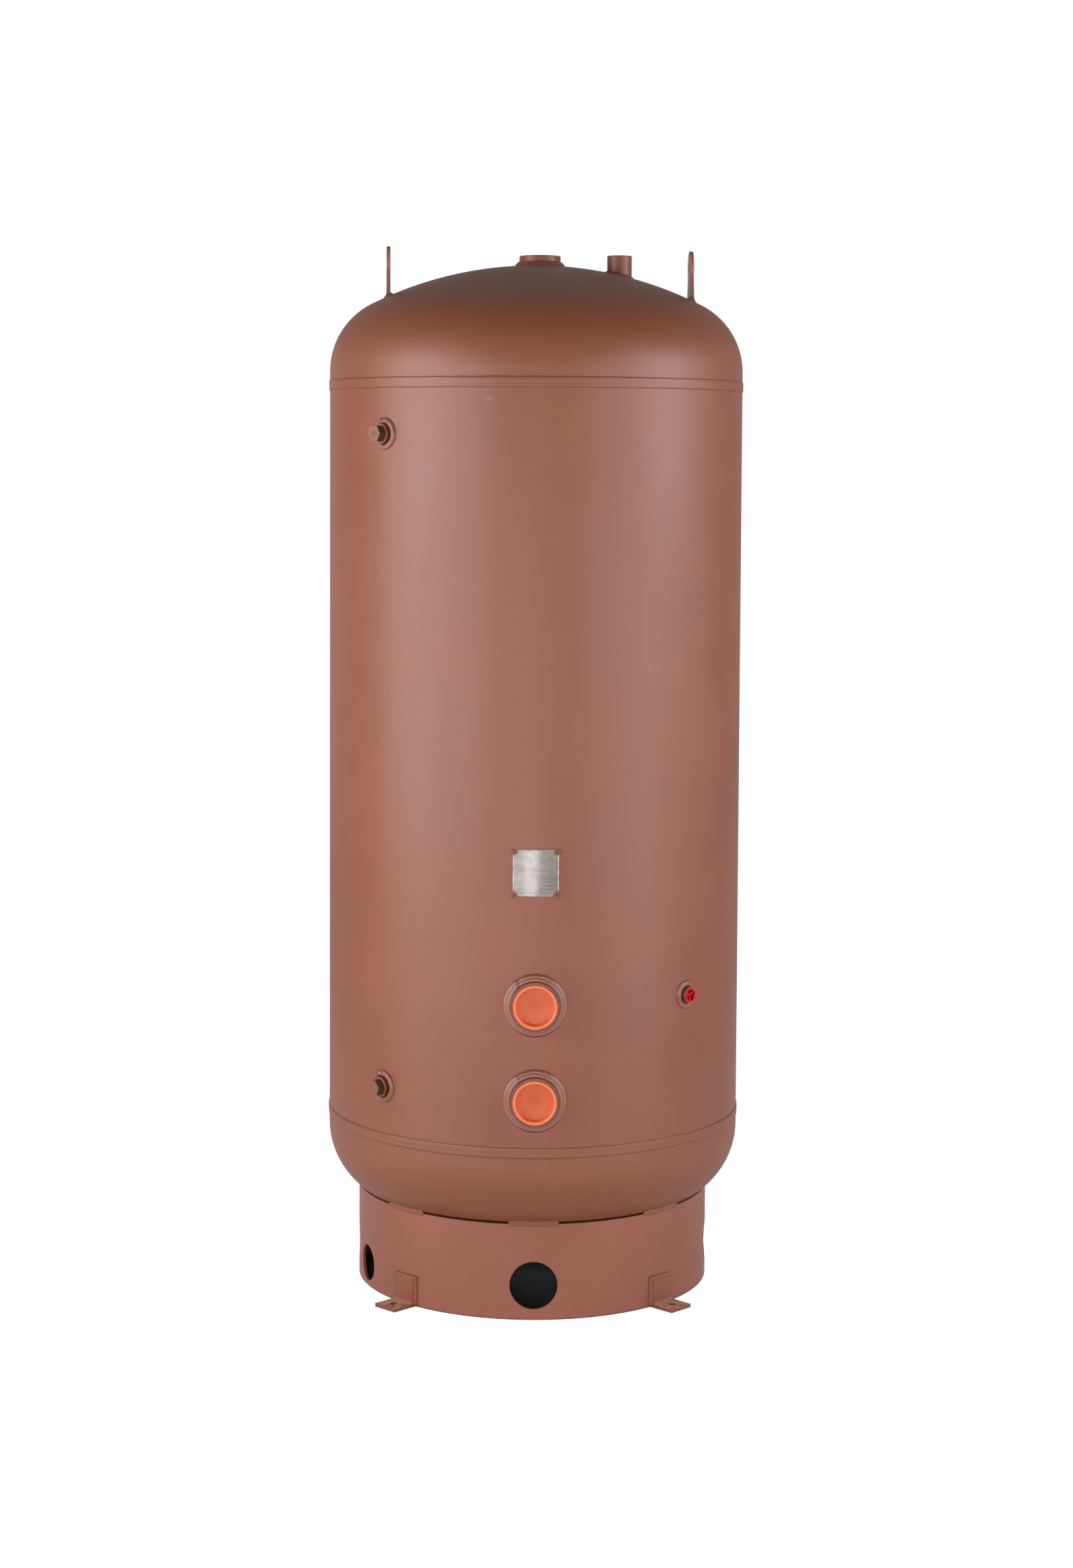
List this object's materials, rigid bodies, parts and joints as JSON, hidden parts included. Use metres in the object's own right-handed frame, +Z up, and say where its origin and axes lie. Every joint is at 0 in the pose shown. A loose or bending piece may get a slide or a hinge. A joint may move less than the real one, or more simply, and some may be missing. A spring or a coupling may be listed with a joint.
{
  "type": "vertical pressure tank",
  "caption": "Vertical cylindrical steel pressure tank with dished heads on a welded base ring, with threaded couplings, lifting lugs and anchor clips, in red-oxide primer.",
  "frame": {"origin": "centre of the base ring and of the anchor bolt circle, at floor level", "axes": "+Z up along the tank's axis, -Y towards the front with the two capped ports, +X to the viewer's right"},
  "size_m": [0.7647, 0.7834, 1.9123],
  "materials": {
    "red_oxide_primer": "satin sprayed red-oxide primer over steel",
    "weld_primer": "primed weld bead",
    "nameplate_steel": "brushed stainless sheet",
    "orange_plastic": "satin moulded plastic",
    "red_plastic": "semi-gloss moulded plastic"
  },
  "bodies": {
    "root": {"shell": "red_oxide_primer", "top_head": "red_oxide_primer", "bottom_head": "red_oxide_primer", "top_girth_weld": "weld_primer", "bottom_girth_weld": "weld_primer", "long_seam_weld": "weld_primer", "base_ring": "red_oxide_primer", "ring_stitch_welds": "weld_primer", "nameplate": "nameplate_steel", "nameplate_tacks": "weld_primer", "anchor_clip_front_left": "red_oxide_primer", "anchor_clip_weld_front_left": "weld_primer", "anchor_clip_front_right": "red_oxide_primer", "anchor_clip_weld_front_right": "weld_primer", "anchor_clip_back_left": "red_oxide_primer", "anchor_clip_weld_back_left": "weld_primer", "anchor_clip_back_right": "red_oxide_primer", "anchor_clip_weld_back_right": "weld_primer", "lifting_lug_left": "red_oxide_primer", "lifting_lug_weld_left": "weld_primer", "lifting_lug_right": "red_oxide_primer", "lifting_lug_weld_right": "weld_primer", "top_centre_coupling": "red_oxide_primer", "top_centre_weld": "weld_primer", "top_side_coupling": "red_oxide_primer", "top_side_weld": "weld_primer", "drain_coupling": "red_oxide_primer", "drain_weld": "weld_primer", "upper_port_coupling": "red_oxide_primer", "upper_port_weld": "weld_primer", "upper_port_cap": "orange_plastic", "lower_port_coupling": "red_oxide_primer", "lower_port_weld": "weld_primer", "lower_port_cap": "orange_plastic", "upper_gauge_coupling": "red_oxide_primer", "upper_gauge_weld": "weld_primer", "upper_gauge_plug": "red_oxide_primer", "lower_gauge_coupling": "red_oxide_primer", "lower_gauge_weld": "weld_primer", "lower_gauge_plug": "red_oxide_primer", "side_coupling": "red_oxide_primer", "side_coupling_weld": "weld_primer", "side_plug": "red_plastic"}
  },
  "joints": []
}
